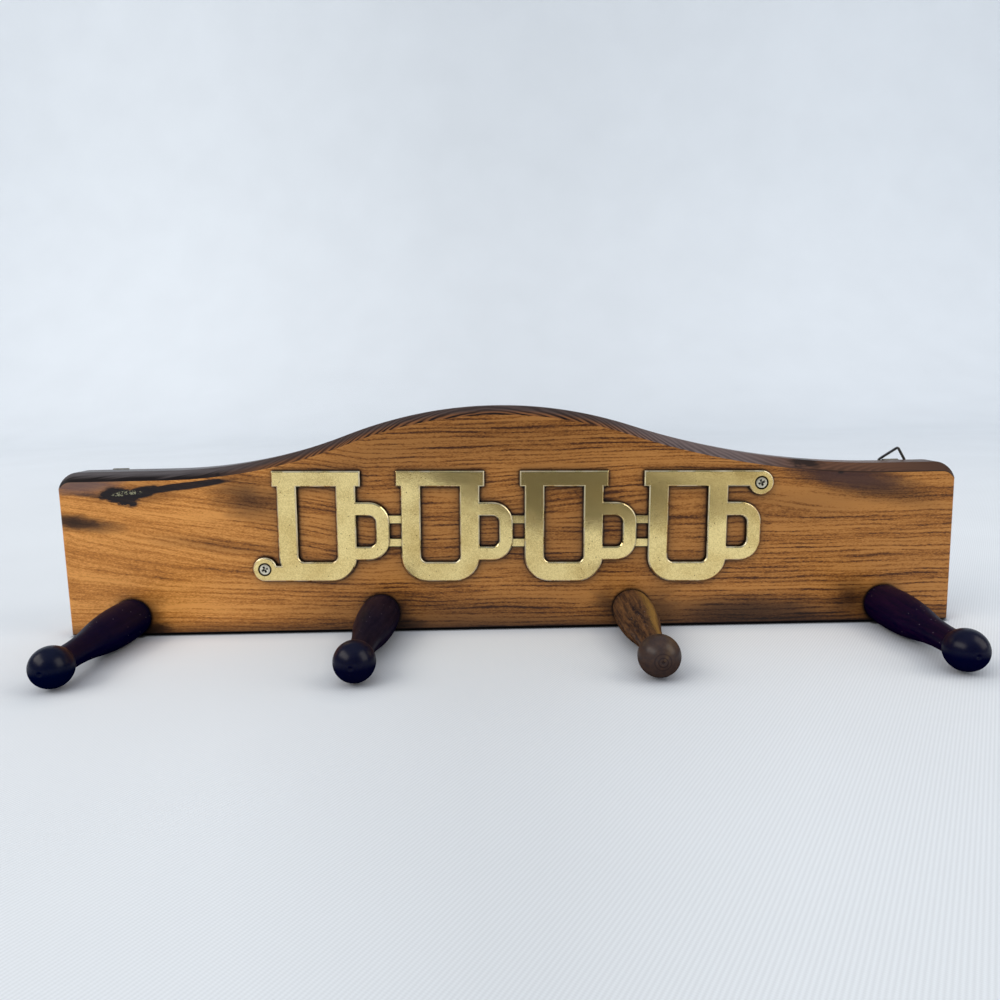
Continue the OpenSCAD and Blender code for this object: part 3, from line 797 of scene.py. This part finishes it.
def flat_screw_profile(head_y, point_y, head_radius):
    """Distance along Y and radius at each step of a countersunk screw, from its head to its point."""
    shank = 0.5 * head_radius
    chamfer = 0.12 * MM
    cone_y = head_y + head_radius - shank
    pitch = 1.1 * MM
    profile = [
        (head_y, head_radius - 2 * chamfer),
        (head_y + 0.3 * chamfer, head_radius - chamfer),
        (head_y + chamfer, head_radius - 0.4 * chamfer),
        (cone_y, shank),
    ]
    return profile + thread(cone_y + pitch, point_y, 2.2 * MM, shank, pitch, 1)


class RACK_OT_plate_screws(bpy.types.Operator):
    """Adds the two cross-head screws that hold the plate"""

    bl_idname = "mug_rack.plate_screws"
    bl_label = "Plate screws"

    def execute(self, context):
        settings = context.scene.mug_rack.plate
        steel = bright_metal("screw_steel", tuple(settings.screw), 0.36, 0.8)
        recess_depth = 1.3 * MM
        for side in SIDES:
            node = "plate_screw_" + side
            x, z, head_y, point_y, radius = axis_of(node)
            profile = flat_screw_profile(head_y, point_y, radius)
            screw = turned("cross_screw_" + side, x, z, profile, 40)
            cut_cross(screw, x, z, head_y, -1, settings.recess_width, settings.recess_span,
                      recess_depth, settings.recess_turn)
            settle(screw, 30)
            show(screw, node, RACK, steel)
        return {"FINISHED"}


def peg_radius(pegs, barrel, out):
    """Radius of a peg at a distance out from the board's face."""
    waist = barrel - pegs.neck / 2
    run = pegs.neck_out - pegs.barrel_out
    arc_sum = (run * run + waist * waist) / (2 * waist)
    neck_arc = arc_sum - pegs.barrel_arc
    join = pegs.barrel_out + run * pegs.barrel_arc / arc_sum
    if out < join:
        shaft = math.sqrt(pegs.barrel_arc ** 2 - (out - pegs.barrel_out) ** 2) + barrel - pegs.barrel_arc
    elif out < pegs.ball_out:
        shaft = pegs.neck / 2 + neck_arc - math.sqrt(neck_arc ** 2 - (out - pegs.neck_out) ** 2)
    else:
        shaft = 0.0
    reach = (pegs.ball / 2) ** 2 - (out - pegs.ball_out) ** 2
    ball = math.sqrt(reach) if reach > 0 else 0.0
    return max(shaft, ball)


def peg_profile(pegs, barrel, tenon_y):
    """Distance along Y and radius at each step of a peg, from its tenon to the dimple in its tip."""
    tenon = pegs.tenon / 2
    foot_radius = peg_radius(pegs, barrel, 0)
    profile = [
        (tenon_y, tenon - 0.5 * MM),
        (tenon_y - 0.5 * MM, tenon),
        (FACE_Y + 0.001 * MM, tenon),
        (FACE_Y, foot_radius - 0.25 * MM),
        (FACE_Y - 0.12 * MM, foot_radius - 0.06 * MM),
    ]
    radius = pegs.ball / 2
    back_share = 0.75
    shaft_start, shaft_end = 0.4 * MM, pegs.ball_out - back_share * radius
    steps = 44
    outs = [shaft_start + (shaft_end - shaft_start) * k / steps for k in range(steps + 1)]
    dimple = pegs.dimple / 2
    tip_turn = math.acos(dimple / radius)
    ball_steps = 40
    start_turn = math.asin(-back_share)
    outs += [pegs.ball_out + radius * math.sin(start_turn + (tip_turn - start_turn) * k / ball_steps)
             for k in range(1, ball_steps + 1)]
    profile += [(FACE_Y - out, peg_radius(pegs, barrel, out)) for out in outs]
    tip_y = FACE_Y - pegs.ball_out - radius
    profile.append((tip_y + 0.15 * dimple, 0.75 * dimple))
    profile.append((tip_y + 0.3 * dimple, 0.35 * dimple))
    profile.append((tip_y + 0.35 * dimple, 0.04 * dimple))
    return profile


# Light and dark wood of each peg, its ball, how mottled it is and how strong its pale side is
PEG_LOOKS = (
    (paint(11, 5, 39), paint(1, 3, 31), paint(0, 8, 34), 0.5, 0.0),
    (paint(34, 26, 40), paint(6, 6, 26), paint(0, 4, 34), 0.8, 0.0),
    (paint(120, 84, 52), paint(34, 26, 28), paint(66, 54, 50), 0.9, 0.7),
    (paint(30, 8, 38), paint(3, 3, 30), paint(0, 6, 34), 0.6, 0.0),
)


class RACK_OT_pegs(bpy.types.Operator):
    """Adds the four turned pegs, each with its own wood"""

    bl_idname = "mug_rack.pegs"
    bl_label = "Pegs"

    def execute(self, context):
        pegs = context.scene.mug_rack.pegs
        for number in range(1, PEGS + 1):
            node = f"peg_{number}"
            x, z, _, tenon_y, radius = axis_of(node)
            profile = peg_profile(pegs, radius, tenon_y)
            peg = turned(f"turned_peg_{number}", x, z, profile, 72)
            wood = peg_wood(f"peg_{number}_wood", pegs, x, z, *PEG_LOOKS[number - 1])
            show(peg, node, RACK, wood)
        return {"FINISHED"}


class RACK_OT_straps(bpy.types.Operator):
    """Adds the two steel straps, each curled round its ring's wire"""

    bl_idname = "mug_rack.straps"
    bl_label = "Hanger straps"

    def execute(self, context):
        settings = context.scene.mug_rack.hangers
        steel = bright_metal("strap_steel", tuple(settings.steel), 0.34, 0.6)
        for side in SIDES:
            node = "hanger_strap_" + side
            strap = self.strap(settings, node, "curled_strap_" + side)
            show(strap, node, RACK, steel)
        return {"FINISHED"}

    def strap(self, settings, node, name):
        """A strap drawn outwards from its screw hole, then up to the hinge, and curled round the wire."""
        low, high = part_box(node)
        x = (low.x + high.x) / 2
        hinge_y = BACK_Y + settings.curl + settings.strap
        hinge_z = high.z - settings.curl - settings.strap
        screw_z = hinge_z - settings.screw_drop
        sheet_y = BACK_Y + settings.strap / 2
        half = settings.strap_width / 2
        hole = 1.7 * MM
        near = 0.01 * MM
        bpy.ops.mesh.primitive_circle_add(
            vertices=40, radius=hole, fill_type="NOTHING", location=(x, sheet_y, screw_z),
            rotation=(math.pi / 2, 0, 0))
        strap = placed(name)
        edit(strap, "SELECT")
        bpy.ops.mesh.extrude_region_move(TRANSFORM_OT_translate={"value": (0, 0, 0)})
        grow = half / hole
        bpy.ops.transform.resize(value=(grow, grow, grow), center_override=(x, sheet_y, screw_z))
        done()
        edit_edges(strap, lambda end: (
            math.hypot(end.x - x, end.z - screw_z) > half - near and end.z > screw_z - near))
        bpy.ops.mesh.extrude_region_move(
            TRANSFORM_OT_translate={"value": (0, 0, settings.screw_drop)})
        bpy.ops.transform.resize(value=(1, 1, 0), center_override=(x, sheet_y, hinge_z))
        bpy.ops.mesh.spin(
            steps=28, angle=settings.curl_turn, center=(x, hinge_y, hinge_z), axis=(1, 0, 0))
        done()
        settle(strap, 40)
        modify(strap, "SOLIDIFY", thickness=settings.strap, offset=0, use_even_offset=True)
        round_edges(strap, 0.12 * MM, 50)
        settle(strap, 40)
        return strap


def round_screw_profile(top_y, seat_y, point_y, head_radius, shank):
    """Distance along Y and radius at each step of a round-headed screw, from its dome to its point."""
    rise = top_y - seat_y
    dome = (head_radius ** 2 + rise ** 2) / (2 * rise)
    full_turn = math.asin(head_radius / dome)
    steps = 12
    turns = [full_turn * k / steps for k in range(1, steps + 1)]
    profile = [(top_y - dome * (1 - math.cos(turn)), dome * math.sin(turn)) for turn in turns]
    profile.append((seat_y - 0.02 * MM, head_radius - 0.1 * MM))
    profile.append((seat_y - 0.02 * MM, shank))
    return profile + thread(seat_y - 1.5 * MM, point_y, 2.4 * MM, shank, 1.2 * MM, -1)


class RACK_OT_strap_screws(bpy.types.Operator):
    """Adds the two round-headed screws that hold the straps"""

    bl_idname = "mug_rack.strap_screws"
    bl_label = "Hanger screws"

    def execute(self, context):
        settings = context.scene.mug_rack.hangers
        steel = bright_metal("strap_screw_steel", tuple(settings.steel), 0.28, 0.6)
        head_height, shank = 1.9 * MM, 1.5 * MM
        recess_width, recess_span, recess_depth, recess_turn = 0.7 * MM, 3.4 * MM, 1.1 * MM, math.radians(35)
        for side in SIDES:
            node = "hanger_screw_" + side
            x, z, point_y, top_y, radius = axis_of(node)
            profile = round_screw_profile(top_y, top_y - head_height, point_y, radius, shank)
            screw = turned("dome_screw_" + side, x, z, profile, 40)
            cut_cross(screw, x, z, top_y, 1, recess_width, recess_span, recess_depth, recess_turn)
            settle(screw, 30)
            show(screw, node, RACK, steel)
        return {"FINISHED"}


class RACK_OT_rings(bpy.types.Operator):
    """Adds the two bent wire rings that swing in the straps"""

    bl_idname = "mug_rack.rings"
    bl_label = "Hanging rings"

    def execute(self, context):
        settings = context.scene.mug_rack.hangers
        wire = bright_metal("ring_wire", tuple(settings.wire), 0.3, 0.5)
        for side in SIDES:
            node = "hanger_ring_" + side
            ring = merged_copy(node, "wire_ring_" + side)
            modify(ring, "SUBSURF", levels=1, render_levels=1)
            settle(ring, 60)
            show(ring, node, side + "_ring", wire)
        return {"FINISHED"}


def cloth(settings):
    """Pale cloth with a fine slanting weave, painted lighter far back and towards the sides, with painted
    shade under the pegs and a painted contact shadow along the board's foot.
    """
    make = Finish("cloth")
    point = make.point()
    camera_y = settings.camera_y / MM
    across, along, _ = make.parts(make.mapped(point, turn=(0, 0, math.radians(32))))
    twill = make.math("SINE", make.times(across, 5.0))
    weave = make.times(make.math("SINE", make.times(along, 9.0)), 0.3, twill)
    cloud = make.noise(point, (0.006, 0.006, 0.006))
    shade = make.times(weave, 0.04, make.scaled(cloud, 0.3, 0.7, 0.97, 1.0))
    sideways, far, _ = make.parts(point)
    # Painted light: the cloth grows lighter further back, and in front of the camera it is darker in the
    # middle and lighter towards the sides
    shade = make.times(shade, make.scaled(far, -100, 900, 0.955, 1.035))
    to_side = make.math("DIVIDE", make.math("ABSOLUTE", sideways), make.math("ADD", far, camera_y))
    side_shade = make.scaled(to_side, 0.05, 0.4, -0.04, 0.05)
    in_view = make.between(far, 40 - camera_y, 140 - camera_y)
    shade = make.times(shade, make.times(side_shade, in_view, 1.0))
    fabric = make.mix(1.0, make.joined(shade, shade, shade), settings.cloth, "MULTIPLY")
    # Painted shade under the pegs, and a painted contact shadow along the foot of the board
    fabric = make.soiled_and_shaded(fabric, CLOTH_SHADE, 16 * MM, 0.35, 0.95, 0.35, samples=8)
    contact_shadow = make.scaled(make.hollows(2.5 * MM), 0.45, 0.95, 0.95, 0.0)
    contact_shadow = make.times(contact_shadow, make.between(far, FACE_Y / MM - 4.0, FACE_Y / MM - 2.0))
    fabric = make.mix(contact_shadow, fabric, CLOTH_CONTACT_SHADOW)
    make.set("Base Color", fabric)
    make.set("Roughness", 0.9)
    make.set("Specular IOR Level", 0.15)
    make.set("Normal", make.relief(weave, 0.05 * MM, 0.3))
    return make.material


# The windows: name, place, size, power and which way each shines
WINDOWS = (
    ("left_window", (-1.25, -0.65, 1.05), (1.8, 0.7), 12.8, (1.25, 0.65, -1.05)),
    ("right_window", (1.25, -0.45, 0.85), (0.9, 1.3), 8.0, (-1.25, 0.45, -0.85)),
    ("backdrop_left", (-1.7, 0.7, 1.5), (0.6, 0.6), 7.0, (0.4, 2.0, -0.5)),
    ("backdrop_right", (1.8, 0.7, 1.5), (0.6, 0.6), 4.0, (-0.3, 2.0, -0.5)),
)


class RACK_OT_stage(bpy.types.Operator):
    """Adds the cloth, the lights and the camera"""

    bl_idname = "mug_rack.stage"
    bl_label = "Stage"

    def execute(self, context):
        settings = context.scene.mug_rack.stage
        self.floor(settings)
        self.dark_card()
        self.daylight(context, settings)
        self.lights(context)
        self.camera(context, settings)
        context.scene.view_settings.view_transform = "Standard"
        return {"FINISHED"}

    def floor(self, settings):
        """A sheet on the floor that curves up behind the rack."""
        width, front, back, bend, rise = 12, -8.0, 1.7, 1.0, 2.5
        bpy.ops.mesh.primitive_plane_add(size=1, location=(0, (front + back) / 2, FLOOR_Z))
        sheet = placed("cloth_floor", (width, back - front, 1))
        edit_edges(sheet, lambda end: end.y > 1)
        bpy.ops.mesh.spin(steps=24, angle=-math.pi / 2, center=(0, back, bend), axis=(1, 0, 0))
        bpy.ops.mesh.extrude_region_move(TRANSFORM_OT_translate={"value": (0, 0, rise)})
        done()
        settle(sheet, 60)
        sheet.data.materials.append(cloth(settings))

    def dark_card(self):
        """A dark card in front that only shiny surfaces see: it gives the brass its olive half."""
        bpy.ops.mesh.primitive_plane_add(size=1, location=(0.798, -1.378, 0.02), rotation=(0, 0, -0.307))
        card = placed("dark_card", (2.2, 1.8, 1))
        make = Finish("dark_card")
        across, _, _ = make.parts(make.point())
        make.set("Base Color", make.mix(make.between(across, 115, 300), CARD_DARK, CARD_PALE))
        make.set("Roughness", 0.9)
        card.data.materials.append(make.material)
        card.visible_camera = False
        card.visible_diffuse = False
        card.visible_shadow = False

    def lights(self, context):
        for name, place, size, power, aim in WINDOWS:
            window = self.lamp(context, name, "AREA", place, power, aim)
            window.data.shape = "RECTANGLE"
            window.data.size, window.data.size_y = size
            window.data.color = WINDOW_LIGHT
        room = self.lamp(context, "room_light", "SUN", (0, 0, 0), 1.15, (0.25, 0.7, -0.7))
        room.data.angle = math.radians(75)
        room.visible_glossy = False

    def lamp(self, context, name, kind, place, power, aim):
        """A lamp that shines along aim."""
        bpy.ops.object.light_add(type=kind, location=place)
        lamp = context.object
        lamp.name = name
        lamp.data.energy = power
        lamp.rotation_mode = "QUATERNION"
        lamp.rotation_quaternion = Vector(aim).to_track_quat("-Z", "Y")
        return lamp

    def daylight(self, context, settings):
        """Light all round. Shiny surfaces see a dim room, and the camera sees pale air beyond the cloth."""
        world = bpy.data.worlds.new("daylight")
        make = Nodes(world)
        ray = make.add("ShaderNodeLightPath").outputs
        _, _, up = make.parts(make.add("ShaderNodeTexCoord").outputs["Generated"])
        room = make.scaled(up, 0.6, 1.0, 0.07, 0.5)
        strength = make.scaled(ray["Is Glossy Ray"], 0, 1, 0.475, room)
        strength = make.scaled(ray["Is Camera Ray"], 0, 1, strength, 0.86)
        background = make.tree.nodes["Background"].inputs
        make.feed(background["Color"], settings.daylight)
        make.feed(background["Strength"], strength)
        context.scene.world = world

    def camera(self, context, settings):
        bpy.ops.object.camera_add()
        camera = context.object
        camera.name = "photo_camera"
        axes = (Matrix.Rotation(settings.roll, 3, "Z") @ Matrix.Rotation(settings.pitch, 3, "X")
                @ Matrix.Rotation(settings.yaw, 3, "Y") @ Matrix(((1, 0, 0), (0, 0, -1), (0, 1, 0))))
        place = Matrix((axes[0], -axes[1], -axes[2])).transposed().to_4x4()
        place.translation = (settings.camera_x, -settings.camera_y, settings.camera_z)
        camera.matrix_world = place
        camera.data.lens = settings.lens
        camera.data.sensor_width = 36
        camera.data.clip_start = 0.01
        context.scene.camera = camera


class RACK_PT_panel(bpy.types.Panel):
    """Lists the rack's pieces and their settings"""

    bl_idname = "RACK_PT_panel"
    bl_label = "Mug Peg Rack"
    bl_space_type = "VIEW_3D"
    bl_region_type = "UI"
    bl_category = "Mug Rack"

    def draw(self, context):
        for operator in OPERATORS:
            self.layout.operator(operator.bl_idname)
        rack = context.scene.mug_rack
        for group in (rack.board, rack.plate, rack.pegs, rack.hangers, rack.stage):
            box = self.layout.box()
            box.label(text=type(group).__doc__)
            for name in type(group).__annotations__:
                box.prop(group, name)


OPERATORS = (
    RACK_OT_board,
    RACK_OT_plate,
    RACK_OT_plate_screws,
    RACK_OT_pegs,
    RACK_OT_straps,
    RACK_OT_strap_screws,
    RACK_OT_rings,
    RACK_OT_stage,
)
CLASSES = (BoardSettings, PlateSettings, PegSettings, HangerSettings, StageSettings, RackSettings,
           *OPERATORS, RACK_PT_panel)


def register():
    for made in CLASSES:
        bpy.utils.register_class(made)
    bpy.types.Scene.mug_rack = bpy.props.PointerProperty(type=RackSettings)


def unregister():
    del bpy.types.Scene.mug_rack
    for made in reversed(CLASSES):
        bpy.utils.unregister_class(made)


def main():
    """Makes every piece."""
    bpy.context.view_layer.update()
    register()
    bpy.ops.mug_rack.board()
    bpy.ops.mug_rack.plate()
    bpy.ops.mug_rack.plate_screws()
    bpy.ops.mug_rack.pegs()
    bpy.ops.mug_rack.straps()
    bpy.ops.mug_rack.strap_screws()
    bpy.ops.mug_rack.rings()
    bpy.ops.mug_rack.stage()


if __name__ == "__main__":
    main()
